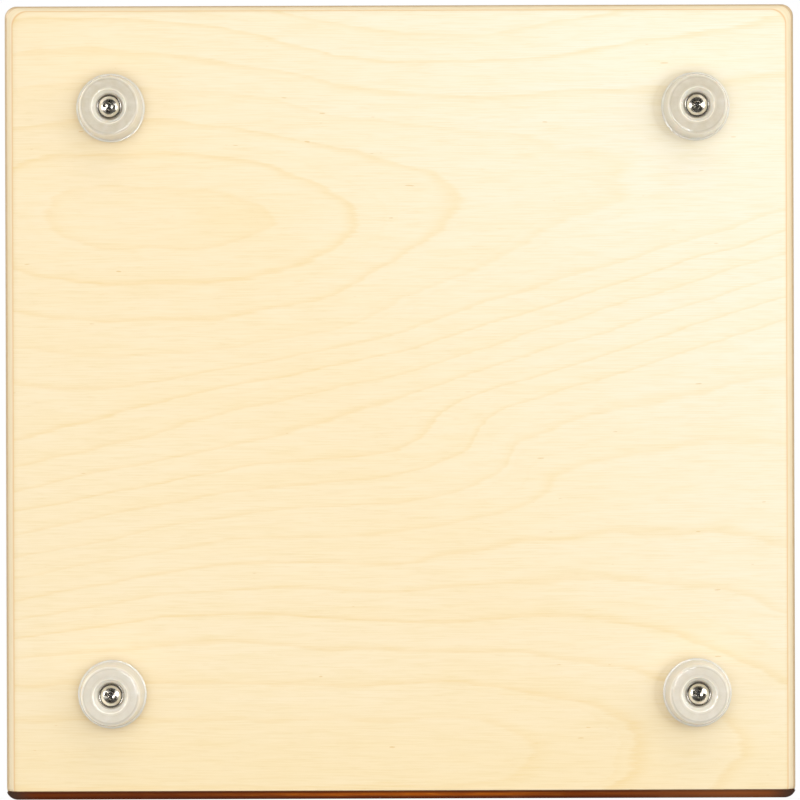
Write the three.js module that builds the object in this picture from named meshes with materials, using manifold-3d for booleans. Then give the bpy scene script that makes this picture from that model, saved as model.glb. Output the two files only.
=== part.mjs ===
// A cajon: a plywood box drum that the player sits on and strikes on its thin front plate.
// Millimetres, +Z up. The origin is on the floor under the middle of the box. The playing
// plate (tapa) faces -Y, the sound hole faces +Y, and "left" is -X, as seen facing the tapa.
// The bottom and seat panels cap the side panels, the back panel is let into the sides, and
// snare wires on a bar inside the box lie against the back of the tapa.

import * as THREE from 'three';
import { mergeVertices } from 'three/addons/utils/BufferGeometryUtils.js';
import Module from 'manifold-3d';

// Box
const WIDTH = 300;
const DEPTH = 301.5;
const HEIGHT = 480;
const PANEL = 12;
const TAPA = 2.8;
const BACK = 5;
const CORNER = 4.5;
const REBATE = 6;
const SOUND_HOLE_R = 57.5;
const SOUND_HOLE_Z = 300;

// Rounding where the outer faces of the bottom and the seat meet the box's sides and back
const EDGE = { side: 5.5, back: 3.9, rise: 4.8, steps: 5 };
const CORNER_GROWTH = 0.4;

// Feet: the insets are from each face of the box to the foot's centre
const FOOT_H = 14;
const FOOT_BASE_R = 13;
const FOOT_FACE_R = 10;
const FOOT_RECESS_R = 6.3;
const FOOT_RECESS = 6;
const FOOT_INSET = { left: 37.5, right: 40.5, front: 40, back: 39 };
const WASHER = { outer: 4.9, inner: 2.4, plate: 0.8, rim: 1.8, wall: 0.5 };

// Screws: head radius and height, shank radius, length under the head, width of the cross
const FOOT_SCREW = { head: 3.9, rise: 2.6, shank: 2.1, length: 16, slot: 1.1, facets: 16 };
const TAPA_SCREW = { head: 3.3, rise: 1.8, shank: 1.6, length: 14, slot: 0.9, facets: 10 };
const BAR_SCREW = { head: 3.9, rise: 2.6, shank: 2.0, length: 40, slot: 1.1, facets: 10 };
const SNARE_SCREW = { head: 2.6, rise: 1.7, shank: 1.5, length: 10, slot: 0.8, facets: 10 };
const TIP = 3;
const SCREWS_ACROSS = 5;
const SCREWS_UP = 5;
const SCREW_SINK = 0.1;

// Snare wires and the bar that carries them, set back from the inner face of the tapa
const BAR_SETBACK = 7;
const BAR_D = 20;
const BAR_H = 26;
const BAR_Z = 352;
const CLEAT_L = 20;
const CLEAT_H = 22;
const SNARE_X = 58;
const STRIP_W = 46;
const STRIP_H = 19;
const STRIP_T = 1;
const STRANDS = 10;
const STRAND_PITCH = 4.4;
const STRAND_R = 0.9;
const STRAND_TOP = 444;
const SNARE_SCREW_X = 17;

const GAP = 0.3;
const MERGE = 1e-4;

// Planes and places worked out from the sizes above
const FRONT = -DEPTH / 2;
const JOINT = FRONT + TAPA;
const REAR = DEPTH / 2;
const BASE = FOOT_H;
const INNER_LOW = BASE + PANEL;
const INNER_HIGH = HEIGHT - PANEL;
const INNER_X = WIDTH / 2 - PANEL;
const BAR_FRONT = JOINT + BAR_SETBACK;
const BAR_MIDDLE = BAR_FRONT + BAR_D / 2;
const STRIP_Z = BAR_Z + 1.5;
const JOINT_TURN = Math.asin((CORNER - TAPA) / CORNER);
const SCREW_LINE_X = WIDTH / 2 - PANEL / 2;
const SCREW_LINE_LOW = BASE + PANEL / 2;
const SCREW_LINE_HIGH = HEIGHT - PANEL / 2;

const wasm = await Module();
wasm.setup();

const COLOURS = {
  birch: { color: 0xf0dcb4, roughness: 0.45, metalness: 0 },
  rawBirch: { color: 0xe3c898, roughness: 0.7, metalness: 0 },
  tapa: { color: 0x7a3c14, roughness: 0.35, metalness: 0 },
  clearRubber: { color: 0xe8e2d4, roughness: 0.25, metalness: 0 },
  nickel: { color: 0xc9c8c4, roughness: 0.22, metalness: 1 },
  blackScrew: { color: 0x1c1c1e, roughness: 0.4, metalness: 1 },
  snareSteel: { color: 0xb8bbc0, roughness: 0.28, metalness: 1 },
};

// Solids

function toSolid(geometry) {
  const bare = geometry.clone();
  bare.deleteAttribute('normal');
  bare.deleteAttribute('uv');
  const merged = mergeVertices(bare, MERGE);
  return new wasm.Manifold(new wasm.Mesh({
    numProp: 3,
    vertProperties: new Float32Array(merged.attributes.position.array),
    triVerts: new Uint32Array(merged.index.array),
  }));
}

function toGeometry(solid) {
  const { vertProperties, triVerts } = solid.getMesh();
  const geometry = new THREE.BufferGeometry();
  geometry.setAttribute('position', new THREE.BufferAttribute(vertProperties, 3));
  geometry.setIndex(new THREE.BufferAttribute(triVerts, 1));
  geometry.computeVertexNormals();
  return geometry;
}

function cut(geometry, cutters) {
  const solid = cutters.reduce((body, tool) => body.subtract(toSolid(tool)), toSolid(geometry));
  return toGeometry(solid);
}

function join(geometries) {
  return toGeometry(geometries.map(toSolid).reduce((body, part) => body.add(part)));
}

function addPiece(group, name, geometry, colour, place = [0, 0, 0]) {
  const mesh = new THREE.Mesh(geometry, new THREE.MeshStandardMaterial(COLOURS[colour]));
  mesh.name = name;
  mesh.position.set(...place);
  group.add(mesh);
  return mesh;
}

// A turned solid: the profile is a list of [radius, height], and the axis is +Z.
function turned(profile, facets) {
  const points = profile.map(([r, z]) => new THREE.Vector2(r, z));
  return new THREE.LatheGeometry(points, facets).rotateX(Math.PI / 2);
}

// A solid of equal-sided rings stacked along Z, closed by a fan at each end.
function stackedRings(rings) {
  const count = rings[0].length;
  const positions = rings.flat().flatMap((p) => [p.x, p.y, p.z]);
  const triangles = [];
  for (let level = 0; level < rings.length - 1; level += 1) {
    for (let i = 0; i < count; i += 1) {
      const here = level * count + i;
      const next = level * count + ((i + 1) % count);
      triangles.push(here, next, next + count, here, next + count, here + count);
    }
  }
  const last = rings.length - 1;
  const foot = positions.length / 3;
  const crown = foot + 1;
  positions.push(0, 0, rings[0][0].z, 0, 0, rings[last][0].z);
  for (let i = 0; i < count; i += 1) {
    const next = (i + 1) % count;
    triangles.push(foot, next, i, crown, last * count + i, last * count + next);
  }
  const geometry = new THREE.BufferGeometry();
  geometry.setAttribute('position', new THREE.Float32BufferAttribute(positions, 3));
  geometry.setIndex(triangles);
  return geometry;
}

function arc(cx, cy, radius, from, to, steps) {
  return Array.from({ length: steps + 1 }, (_, i) => {
    const angle = from + ((to - from) * i) / steps;
    return [cx + radius * Math.cos(angle), cy + radius * Math.sin(angle)];
  });
}

// Panels

// The box's plan outline behind the tapa, drawn in at the sides and back. Its back corners
// grow rounder as it is drawn in, as sanding leaves them.
function planRing(z, sideInset = 0, backInset = 0) {
  const x = WIDTH / 2 - sideInset;
  const y = REAR - backInset;
  const r = CORNER + CORNER_GROWTH * sideInset;
  const right = [
    ...arc(x - CORNER, FRONT + CORNER, CORNER, -JOINT_TURN, 0, 2),
    ...arc(x - r, y - r, r, 0, Math.PI / 2, 6),
  ];
  const left = right.map(([px, py]) => [-px, py]).reverse();
  return [...right, ...left].map(([px, py]) => new THREE.Vector3(px, py, z));
}

// A capping panel: a flat inner face, a straight edge, then a quarter round to its outer face.
function cappingPanel(inner, outer) {
  const outward = Math.sign(outer - inner);
  const rings = [planRing(inner)];
  for (let i = 0; i <= EDGE.steps; i += 1) {
    const angle = (i / EDGE.steps) * (Math.PI / 2);
    const inset = 1 - Math.cos(angle);
    const z = outer - outward * EDGE.rise * (1 - Math.sin(angle));
    rings.push(planRing(z, EDGE.side * inset, EDGE.back * inset));
  }
  return stackedRings(outward > 0 ? rings : rings.reverse());
}

// A blind hole of radius r from the joint plane into a panel's front edge.
function pilotFromFront(x, z) {
  const deep = TAPA_SCREW.length + TAPA_SCREW.rise + 1;
  const r = TAPA_SCREW.shank + GAP;
  return new THREE.CylinderGeometry(r, r, 2 * deep, 8).translate(x, JOINT, z);
}

function pilotFromBelow(x, y) {
  const r = FOOT_SCREW.shank + GAP;
  const top = FOOT_H - FOOT_RECESS - WASHER.plate + FOOT_SCREW.length + GAP - BASE;
  const hole = new THREE.CylinderGeometry(r, r, 2 * top, 10).rotateX(Math.PI / 2);
  return hole.translate(x, y, BASE);
}

function spread(count, low, high) {
  return Array.from({ length: count }, (_, i) => low + ((high - low) * i) / (count - 1));
}

const SCREW_COLUMNS = spread(SCREWS_ACROSS, -SCREW_LINE_X, SCREW_LINE_X);
const SCREW_ROWS = spread(SCREWS_UP, SCREW_LINE_LOW, SCREW_LINE_HIGH);
const SIDE_ROWS = SCREW_ROWS.slice(1, -1);

const FEET = [
  ['front_left', -WIDTH / 2 + FOOT_INSET.left, FRONT + FOOT_INSET.front],
  ['front_right', WIDTH / 2 - FOOT_INSET.right, FRONT + FOOT_INSET.front],
  ['back_left', -WIDTH / 2 + FOOT_INSET.left, REAR - FOOT_INSET.back],
  ['back_right', WIDTH / 2 - FOOT_INSET.right, REAR - FOOT_INSET.back],
];

function bottomPanel() {
  return cut(cappingPanel(INNER_LOW, BASE), [
    ...SCREW_COLUMNS.map((x) => pilotFromFront(x, SCREW_LINE_LOW)),
    ...FEET.map(([, x, y]) => pilotFromBelow(x, y)),
  ]);
}

function seatPanel() {
  const pilots = SCREW_COLUMNS.map((x) => pilotFromFront(x, SCREW_LINE_HIGH));
  return cut(cappingPanel(INNER_HIGH, HEIGHT), pilots);
}

function extrudeUp(outline, low, high) {
  const shape = new THREE.Shape(outline.map(([x, y]) => new THREE.Vector2(x, y)));
  const options = { depth: high - low, bevelEnabled: false };
  return new THREE.ExtrudeGeometry(shape, options).translate(0, 0, low);
}

// A side panel stands between the capping panels, with a rebate for the back panel.
function sidePanel(hand) {
  const x = WIDTH / 2;
  const outline = [
    [INNER_X, JOINT],
    ...arc(x - CORNER, FRONT + CORNER, CORNER, -JOINT_TURN, 0, 2),
    ...arc(x - CORNER, REAR - CORNER, CORNER, 0, Math.PI / 2, 6),
    [x - PANEL + REBATE, REAR],
    [x - PANEL + REBATE, REAR - BACK],
    [INNER_X, REAR - BACK],
  ];
  const placed = outline.map(([px, py]) => [hand * px, py]);
  const panel = extrudeUp(hand > 0 ? placed : placed.reverse(), INNER_LOW, INNER_HIGH);
  return cut(panel, SIDE_ROWS.map((z) => pilotFromFront(hand * SCREW_LINE_X, z)));
}

function backPanel() {
  const x = WIDTH / 2 - PANEL + REBATE;
  const height = INNER_HIGH - INNER_LOW;
  const plate = new THREE.BoxGeometry(2 * x, BACK, height);
  plate.translate(0, REAR - BACK / 2, INNER_LOW + height / 2);
  const hole = new THREE.CylinderGeometry(SOUND_HOLE_R, SOUND_HOLE_R, 4 * BACK, 48);
  return cut(plate, [hole.translate(0, REAR - BACK / 2, SOUND_HOLE_Z)]);
}

// The countersunk hole for a tapa screw, which keeps the gap all round the screw.
function countersink(x, z) {
  const { head, rise, shank } = TAPA_SCREW;
  const profile = [
    [0, -TAPA - 1],
    [shank + GAP, -TAPA - 1],
    [shank + GAP, -rise - GAP],
    [head + GAP, -GAP / 2],
    [head + GAP, 1],
    [0, 1],
  ];
  return turned(profile, 12).rotateX(Math.PI / 2).translate(x, FRONT, z);
}

function tapaPlate() {
  const corner = arc(WIDTH / 2 - CORNER, FRONT + CORNER, CORNER, -Math.PI / 2, -JOINT_TURN, 4);
  const mirrored = corner.map(([x, y]) => [-x, y]).reverse();
  const plate = extrudeUp([...corner, ...mirrored], BASE, HEIGHT);
  return cut(plate, tapaScrewPlaces().map(([x, z]) => countersink(x, z)));
}

function tapaScrewPlaces() {
  const rows = SCREW_ROWS.map((z) => {
    const edge = z === SCREW_LINE_LOW || z === SCREW_LINE_HIGH;
    return (edge ? SCREW_COLUMNS : [-SCREW_LINE_X, SCREW_LINE_X]).map((x) => [x, z]);
  });
  return rows.flat();
}

// Fasteners: the head's bearing plane is at z = 0, the shank points to +Z

function crossRecess({ head, rise, slot }) {
  const reach = 1.25 * head;
  const depth = 1.2 * rise;
  return [[reach, slot], [slot, reach]].map(([x, y]) => (
    new THREE.BoxGeometry(x, y, depth).translate(0, 0, -rise)
  ));
}

function shank({ shank: r, length }) {
  return [[r, 0], [r, length - TIP], [0, length]];
}

function panScrew(size) {
  const { head, rise, facets } = size;
  const dome = [[0, -rise], [0.55 * head, -0.94 * rise], [0.86 * head, -0.7 * rise], [head, -0.3 * rise]];
  const profile = [...dome, [head, 0], ...shank(size)];
  return cut(turned(profile, facets), crossRecess(size));
}

function flatScrew(size) {
  const { head, rise, facets } = size;
  const profile = [[0, -rise], [head, -rise], [head, 0.15 - rise], ...shank(size)];
  return cut(turned(profile, facets), crossRecess(size));
}

// Feet: a tapered foot with a stepped bore, and a dished washer in the bottom of the bore

function foot() {
  const seat = WASHER.outer + GAP;
  const bore = FOOT_SCREW.shank + GAP;
  const profile = [
    [bore, FOOT_H],
    [bore, FOOT_RECESS],
    [seat, FOOT_RECESS],
    [seat, FOOT_RECESS - WASHER.rim],
    [FOOT_RECESS_R - 0.3, 0.6],
    [FOOT_RECESS_R, 0],
    [FOOT_FACE_R, 0],
    [FOOT_FACE_R + 0.7, 0.35],
    [FOOT_FACE_R + 1.1, 1.3],
    [FOOT_BASE_R - 0.2, FOOT_H - 1.2],
    [FOOT_BASE_R, FOOT_H],
    [bore, FOOT_H],
  ];
  return turned(profile, 24);
}

function washer() {
  const { outer, inner, plate, rim, wall } = WASHER;
  const profile = [
    [inner, 0],
    [inner, -plate],
    [outer - wall, -plate],
    [outer - wall + 0.1, -rim],
    [outer, -rim],
    [outer, 0],
    [inner, 0],
  ];
  return turned(profile, 20);
}

// Snares

function snareBar() {
  const bar = new THREE.BoxGeometry(2 * INNER_X, BAR_D, BAR_H).translate(0, BAR_MIDDLE, BAR_Z);
  const through = BAR_SCREW.shank + GAP;
  const ends = [-1, 1].map((hand) => (
    new THREE.CylinderGeometry(through, through, 2 * BAR_H, 8).rotateX(Math.PI / 2)
      .translate(hand * (INNER_X - CLEAT_L / 2), BAR_MIDDLE, BAR_Z)
  ));
  const pilot = SNARE_SCREW.shank + GAP;
  const deep = 2 * SNARE_SCREW.length;
  const pilots = snareScrewPlaces().map(([x, z]) => (
    new THREE.CylinderGeometry(pilot, pilot, deep, 8).translate(x, BAR_FRONT, z)
  ));
  return cut(bar, [...ends, ...pilots]);
}

function snareScrewPlaces() {
  return [-1, 1].flatMap((side) => [-1, 1].map((end) => (
    [side * SNARE_X + end * SNARE_SCREW_X, STRIP_Z - STRIP_H / 4]
  )));
}

function cleat(hand) {
  const top = BAR_Z - BAR_H / 2;
  const x = hand * (INNER_X - CLEAT_L / 2);
  const block = new THREE.BoxGeometry(CLEAT_L, BAR_D, CLEAT_H).translate(x, BAR_MIDDLE, top - CLEAT_H / 2);
  const r = BAR_SCREW.shank + GAP;
  const deep = BAR_SCREW.length - BAR_H + 1;
  const pilot = new THREE.CylinderGeometry(r, r, 2 * deep, 8).rotateX(Math.PI / 2);
  return cut(block, [pilot.translate(x, BAR_MIDDLE, top)]);
}

// One strand's outer shape: up from the strip, leaning out until it lies along the tapa.
function strand(x) {
  const soldered = BAR_FRONT - STRIP_T - STRAND_R + 0.3;
  const touching = JOINT + STRAND_R + GAP;
  const path = new THREE.CatmullRomCurve3([
    new THREE.Vector3(x, soldered, STRIP_Z + 1),
    new THREE.Vector3(x, soldered, STRIP_Z + STRIP_H / 2),
    new THREE.Vector3(x, touching, STRIP_Z + STRIP_H / 2 + 26),
    new THREE.Vector3(x, touching, STRAND_TOP),
  ], false, 'catmullrom', 0.25);
  const section = new THREE.Shape(new THREE.Path().absarc(0, 0, STRAND_R, 0, 2 * Math.PI).getPoints(3));
  return new THREE.ExtrudeGeometry(section, { steps: 7, bevelEnabled: false, extrudePath: path });
}

// A snare: a steel strip with the strands soldered along its upper half.
function snare(side) {
  const middle = side * SNARE_X;
  const strip = new THREE.BoxGeometry(STRIP_W, STRIP_T, STRIP_H);
  strip.translate(middle, BAR_FRONT - STRIP_T / 2, STRIP_Z);
  const reach = ((STRANDS - 1) * STRAND_PITCH) / 2;
  const strands = spread(STRANDS, middle - reach, middle + reach).map(strand);
  const r = SNARE_SCREW.shank + GAP;
  const holes = snareScrewPlaces().map(([x, z]) => (
    new THREE.CylinderGeometry(r, r, 4 * STRIP_T, 8).translate(x, BAR_FRONT, z)
  ));
  return cut(join([strip, ...strands]), holes);
}

// Assembly

function addBox(cajon) {
  addPiece(cajon, 'bottom_panel', bottomPanel(), 'birch');
  addPiece(cajon, 'seat_panel', seatPanel(), 'birch');
  addPiece(cajon, 'left_side', sidePanel(-1), 'birch');
  addPiece(cajon, 'right_side', sidePanel(1), 'birch');
  addPiece(cajon, 'back_panel', backPanel(), 'birch');
  addPiece(cajon, 'tapa', tapaPlate(), 'tapa');
}

function addFeet(cajon) {
  const footBody = foot();
  const cup = washer();
  const screw = panScrew(FOOT_SCREW);
  for (const [corner, x, y] of FEET) {
    addPiece(cajon, `foot_${corner}`, footBody, 'clearRubber', [x, y, 0]);
    addPiece(cajon, `foot_washer_${corner}`, cup, 'nickel', [x, y, FOOT_RECESS]);
    addPiece(cajon, `foot_screw_${corner}`, screw, 'nickel', [x, y, FOOT_RECESS - WASHER.plate]);
  }
}

function addTapaScrews(cajon) {
  const screw = flatScrew(TAPA_SCREW);
  tapaScrewPlaces().forEach(([x, z], i) => {
    const y = FRONT + SCREW_SINK + TAPA_SCREW.rise;
    const name = `tapa_screw_${String(i + 1).padStart(2, '0')}`;
    addPiece(cajon, name, screw, 'blackScrew', [x, y, z]).rotation.x = -Math.PI / 2;
  });
}

function addSnares(cajon) {
  addPiece(cajon, 'snare_bar', snareBar(), 'rawBirch');
  const barScrew = panScrew(BAR_SCREW);
  for (const [side, hand] of [['left', -1], ['right', 1]]) {
    const x = hand * (INNER_X - CLEAT_L / 2);
    const place = [x, BAR_MIDDLE, BAR_Z + BAR_H / 2 + GAP];
    addPiece(cajon, `snare_cleat_${side}`, cleat(hand), 'rawBirch');
    addPiece(cajon, `snare_bar_screw_${side}`, barScrew, 'nickel', place).rotation.x = Math.PI;
    addPiece(cajon, `snare_${side}`, snare(hand), 'snareSteel');
  }
  const stripScrew = panScrew(SNARE_SCREW);
  snareScrewPlaces().forEach(([x, z], i) => {
    const y = BAR_FRONT - STRIP_T - GAP;
    addPiece(cajon, `snare_screw_${i + 1}`, stripScrew, 'nickel', [x, y, z]).rotation.x = -Math.PI / 2;
  });
}

const cajon = new THREE.Group();
addBox(cajon);
addFeet(cajon);
addTapaScrews(cajon);
addSnares(cajon);

export default cajon;
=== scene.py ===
"""Cajon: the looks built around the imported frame, seen from straight below.

Lengths are in millimetres in this script, in the frame's axes, and MM turns them into metres.
The tapa faces -Y, the sound hole faces +Y, and the feet stand on z = 0.
"""

import math
import random
from collections import namedtuple
from functools import partialmethod

import bmesh
import bpy
from mathutils import Matrix, Vector


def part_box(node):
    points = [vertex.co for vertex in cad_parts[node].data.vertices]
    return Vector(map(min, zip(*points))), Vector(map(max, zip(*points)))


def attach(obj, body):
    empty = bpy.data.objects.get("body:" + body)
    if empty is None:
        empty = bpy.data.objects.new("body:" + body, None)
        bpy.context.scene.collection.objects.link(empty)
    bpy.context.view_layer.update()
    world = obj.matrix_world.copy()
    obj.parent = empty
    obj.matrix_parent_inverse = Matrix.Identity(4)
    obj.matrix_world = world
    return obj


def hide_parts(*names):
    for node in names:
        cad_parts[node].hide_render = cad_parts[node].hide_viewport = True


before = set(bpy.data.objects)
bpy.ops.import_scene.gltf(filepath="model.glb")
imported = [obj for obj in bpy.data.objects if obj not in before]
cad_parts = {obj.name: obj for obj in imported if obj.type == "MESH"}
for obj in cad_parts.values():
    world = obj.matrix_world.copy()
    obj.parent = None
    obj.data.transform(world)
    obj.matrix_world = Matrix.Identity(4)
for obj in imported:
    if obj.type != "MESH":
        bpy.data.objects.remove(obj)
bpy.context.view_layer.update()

MM = 0.001
SEED = 7
QUARTER = math.pi / 2


def box_mm(node):
    """The lowest and highest corners of a CAD node, in mm."""
    low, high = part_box(node)
    return low / MM, high / MM


def centre(node):
    """The middle of a CAD node, in mm."""
    return [(low + high) / 2 for low, high in zip(*box_mm(node))]


# Sizes read from the frame
BOTTOM_LOW, BOTTOM_HIGH = box_mm("bottom_panel")
SEAT_LOW, SEAT_HIGH = box_mm("seat_panel")
TAPA_LOW, TAPA_HIGH = box_mm("tapa")
BACK_LOW, BACK_HIGH = box_mm("back_panel")
SIDE_LOW, SIDE_HIGH = box_mm("right_side")
BAR_LOW, BAR_HIGH = box_mm("snare_bar")
HALF_W = BOTTOM_HIGH.x
FRONT = TAPA_LOW.y
JOINT = TAPA_HIGH.y
REAR = BOTTOM_HIGH.y
BASE = BOTTOM_LOW.z
TOP = SEAT_HIGH.z
PANEL = BOTTOM_HIGH.z - BASE
BACK = BACK_HIGH.y - BACK_LOW.y
INNER_X = SIDE_LOW.x
MIDDLE = (BASE + TOP) / 2

# The upright corners' radius and how it grows as an edge rounds over, how far the rounding
# draws the outline in at the sides and the back, and how high it is
CORNER = 4.5
CORNER_GROWTH = 0.4
EDGE_SIDE = 5.5
EDGE_BACK = 3.9
EDGE_RISE = 4.8
JOINT_TURN = math.asin((CORNER - (JOINT - FRONT)) / CORNER)

# The sound hole, its eased rim, and the small easing of a sheet's edges
SOUND_HOLE_R = 57.5
SOUND_HOLE_Z = 300
HOLE_EASE = 1.6
EASE = 0.35

# Feet and washers: radii, and heights above the floor. A screw's head bears at BEARING_Z
FOOT_R = 13
FOOT_H = 14
BORE_R = 2.4
RECESS_R = 5.2
RECESS_Z = 6
STEP_OUT = 0.25
STEP_Z = 4.2
STEP_H = 0.3
BEARING_Z = 5.2
WASHER_R = 4.9
BEAD_R = 0.39
BEAD_Z = 4.63
FOOT_PILOT = 7.5

# The rounded edges of a foot: the radius and height of each arc's centre, then its own radius
FOOT_MOUTH = (6.9, 0.6, 0.6)
FOOT_SHOULDER = (9.9, 1.3, 1.3)
FOOT_FLANGE = (12.95, 12.3, 0.6)

# Screws: head radius and height, shank radius, length under the head, thread pitch
Screw = namedtuple("Screw", "head rise shank length pitch")
FOOT_SCREW = Screw(3.9, 2.6, 2.1, 16, 1.4)
TAPA_SCREW = Screw(3.3, 1.8, 1.6, 14, 1.2)
BAR_SCREW = Screw(3.9, 2.6, 2.0, 40, 1.8)
SNARE_SCREW = Screw(2.6, 1.7, 1.5, 10, 1.1)

# The length of a screw's tip, the clearance round a screw, and how far the tapa's are let in
TIP = 3
GAP = 0.3
LET_IN = 0.1

# Threads: root and neck as shares of the shank's radius, and where in a pitch they come
ROOT = 0.72
NECK = 0.9
ROOT_AT = 0.2
CREST_AT = 0.6

# Cross recesses: shares of the head's radius and height, the plan's share at each share of the
# depth, and how far the cutter starts outside
CROSS_REACH = 0.72
CROSS_WIDTH = 0.21
CROSS_DEPTH = 0.85
CROSS_LEVELS = ((0, 1), (0.75, 0.6), (1, 0.25))
OVERCUT = 0.05

# Pan heads: how much of a half circle the crown takes, and its share of the head's height
CROWN_REACH = 0.96
CROWN_RISE = 0.68

# Snares: coiled strands of wire on a steel strip
STRANDS = 10
STRAND_PITCH = 4.4
STRAND_R = 0.9
WIRE_R = 0.2
STRIP_T = 1
STRIP_H = 19
STRIP_W = 46
STRAND_RISE = 26
COILS = 76
STEPS_PER_COIL = 10


# Mesh helpers


def new_object(name, data):
    """An object in the scene."""
    obj = bpy.data.objects.new(name, data)
    bpy.context.scene.collection.objects.link(obj)
    return obj


def remove(objects):
    """Takes objects out of the file."""
    for obj in objects:
        bpy.data.objects.remove(obj)


def mesh_object(name, points, faces, material, sharp=35):
    """A mesh object from points in mm, smooth where its faces meet at less than `sharp` degrees."""
    mesh = bpy.data.meshes.new(name)
    mesh.from_pydata([tuple(c * MM for c in p) for p in points], [], faces)
    mesh.validate()
    mesh.materials.append(material)
    tidy_normals(mesh, sharp)
    return new_object(name, mesh)


def tidy_normals(mesh, sharp=35):
    """Welds stray doubles, turns every face outward and sets the smooth shading."""
    cleaner = bmesh.new()
    cleaner.from_mesh(mesh)
    bmesh.ops.remove_doubles(cleaner, verts=cleaner.verts, dist=1e-6)
    bmesh.ops.recalc_face_normals(cleaner, faces=cleaner.faces)
    cleaner.to_mesh(mesh)
    cleaner.free()
    mesh.shade_smooth()
    mesh.set_sharp_from_angle(angle=math.radians(sharp))


def stack(name, rings, material, sharp=35):
    """A solid of equal-sided rings, closed by a flat face at each end."""
    count = len(rings[0])
    points = [p for ring in rings for p in ring]
    faces = [list(range(count)), [len(points) - 1 - i for i in range(count)]]
    for level in range(len(rings) - 1):
        for i in range(count):
            here = level * count + i
            after = level * count + (i + 1) % count
            faces.append([here, after, after + count, here + count])
    return mesh_object(name, points, faces, material, sharp)


def lathe(name, profile, material, segments, closed=False):
    """A turned piece round +Z. The profile is [radius, height] from axis to axis, or a closed loop."""
    points, rows = [], []
    for r, z in profile:
        if r < 1e-6:
            rows.append([len(points)])
            points.append((0, 0, z))
            continue
        rows.append([len(points) + i for i in range(segments)])
        for i in range(segments):
            angle = 2 * math.pi * i / segments
            points.append((r * math.cos(angle), r * math.sin(angle), z))
    faces = []
    pairs = list(zip(rows, rows[1:])) + ([(rows[-1], rows[0])] if closed else [])
    for a, b in pairs:
        for i in range(segments):
            j = (i + 1) % segments
            corners = [a[i % len(a)], a[j % len(a)], b[j % len(b)], b[i % len(b)]]
            faces.append(list(dict.fromkeys(corners)))
    return mesh_object(name, points, faces, material)


def arc(cx, cy, radius, start, end, steps):
    """Points of an arc, angles in radians."""
    angles = [start + (end - start) * i / steps for i in range(steps + 1)]
    return [(cx + radius * math.cos(a), cy + radius * math.sin(a)) for a in angles]


def subtract(obj, cutters):
    """Cuts the cutters out of obj and removes them."""
    for cutter in cutters:
        modifier = obj.modifiers.new("cut", "BOOLEAN")
        modifier.operation = "DIFFERENCE"
        modifier.solver = "EXACT"
        modifier.object = cutter
    bpy.context.view_layer.update()
    graph = bpy.context.evaluated_depsgraph_get()
    made = bpy.data.meshes.new_from_object(obj.evaluated_get(graph))
    made.name = obj.name
    obj.modifiers.clear()
    obj.data = made
    remove(cutters)
    tidy_normals(made)
    return obj


def join(name, objects):
    """One object of several, placed as they are."""
    joined = bmesh.new()
    for obj in objects:
        obj.data.transform(obj.matrix_basis)
        joined.from_mesh(obj.data)
    mesh = bpy.data.meshes.new(name)
    joined.to_mesh(mesh)
    joined.free()
    mesh.materials.append(objects[0].data.materials[0])
    remove(objects)
    tidy_normals(mesh)
    return new_object(name, mesh)


def place(obj, at, turn=None):
    """Moves a mesh to a point in mm, after a turn, and leaves its object at the origin."""
    matrix = Matrix.Translation(Vector(at) * MM)
    obj.data.transform(matrix @ turn if turn else matrix)
    return obj


def set_down(obj, at, turn=None):
    """Puts an object at a point in mm, after a turn, and keeps its own coordinates."""
    matrix = Matrix.Translation(Vector(at) * MM)
    obj.matrix_world = matrix @ turn if turn else matrix
    return obj


def spread(count, low, high):
    """So many numbers at even steps, with both ends."""
    return [low + (high - low) * i / (count - 1) for i in range(count)]


# Shader helpers


class Value:
    """A number, colour or vector worked out in the shader. Arithmetic adds Math nodes."""

    def __init__(self, tree, socket):
        self.tree = tree
        self.socket = socket

    def math(self, operation, *others):
        node = self.tree.nodes.new("ShaderNodeMath")
        node.operation = operation
        for socket, value in zip(node.inputs, (self, *others)):
            connect(self.tree, value, socket)
        return Value(self.tree, node.outputs[0])

    __add__ = partialmethod(math, "ADD")
    __sub__ = partialmethod(math, "SUBTRACT")
    __mul__ = partialmethod(math, "MULTIPLY")
    __truediv__ = partialmethod(math, "DIVIDE")
    at_least = partialmethod(math, "MAXIMUM")
    at_most = partialmethod(math, "MINIMUM")
    absolute = partialmethod(math, "ABSOLUTE")
    root = partialmethod(math, "SQRT")
    floor = partialmethod(math, "FLOOR")
    power = partialmethod(math, "POWER")
    exp = partialmethod(math, "EXPONENT")
    fraction = partialmethod(math, "FRACT")

    def __neg__(self):
        return self * -1

    def __rsub__(self, other):
        return self * -1 + other

    def squared(self):
        return self * self

    def step(self, width):
        """From 0 well below zero to 1 well above it, over about twice the width."""
        return (self / width).math("TANH") * 0.5 + 0.5

    def ramp(self, low, high):
        """A smooth climb from 0 at low to 1 at high."""
        node = self.tree.nodes.new("ShaderNodeMapRange")
        node.interpolation_type = "SMOOTHSTEP"
        feed(self.tree, node, {"Value": self, "From Min": low, "From Max": high})
        return Value(self.tree, node.outputs["Result"])


def connect(tree, value, socket):
    """Feeds a socket with a Value, or sets it to a constant."""
    if isinstance(value, Value):
        tree.links.new(value.socket, socket)
    else:
        socket.default_value = value


def feed(tree, node, inputs):
    """Connects or sets a node's inputs by name."""
    for name, value in inputs.items():
        connect(tree, value, node.inputs[name])


def vector(tree, x, y, z):
    """Three numbers or Values as one vector."""
    node = tree.nodes.new("ShaderNodeCombineXYZ")
    for socket, value in zip(node.inputs, (x, y, z)):
        connect(tree, value, socket)
    return Value(tree, node.outputs[0])


def sum_of_squares(first, *others):
    """The squares of Values, added up."""
    total = first.squared()
    for other in others:
        total = total + other.squared()
    return total


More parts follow.
